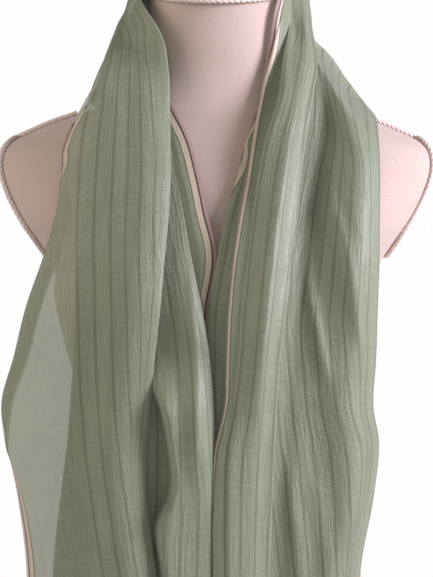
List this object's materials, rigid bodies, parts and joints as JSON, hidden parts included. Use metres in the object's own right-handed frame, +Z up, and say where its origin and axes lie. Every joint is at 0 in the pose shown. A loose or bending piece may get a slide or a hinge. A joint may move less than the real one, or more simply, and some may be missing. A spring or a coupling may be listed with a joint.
{
  "type": "chanderi scarf on a dress form",
  "caption": "Sheer striped chanderi scarf hung round the neck of a linen dress form on a pole and round base, both ends falling in front",
  "frame": {"origin": "middle of the underside of the round base, on the surface that it stands on", "axes": "+Z up, the form faces -Y, +X is to the right of someone who looks at its front"},
  "size_m": [0.3918, 0.2848, 0.8992],
  "materials": {
    "scarf_chanderi": "sheer silk-cotton chanderi, sage green with fine darker warp stripes and a cream and brown selvedge border",
    "form_linen": "plain woven linen with faint slubs, stretched smooth over the form",
    "cord_cotton": "twisted cotton cord, matt",
    "stand_wood": "turned wood, satin varnish"
  },
  "bodies": {
    "root": {"base": "stand_wood", "pole": "stand_wood", "dress_form": "form_linen", "neck_cord": "cord_cotton", "left_armhole_cord": "cord_cotton", "left_shoulder_cord": "cord_cotton", "right_armhole_cord": "cord_cotton", "right_shoulder_cord": "cord_cotton", "scarf_left_fall": "scarf_chanderi", "scarf_neck": "scarf_chanderi", "scarf_right_fall": "scarf_chanderi"}
  },
  "joints": []
}
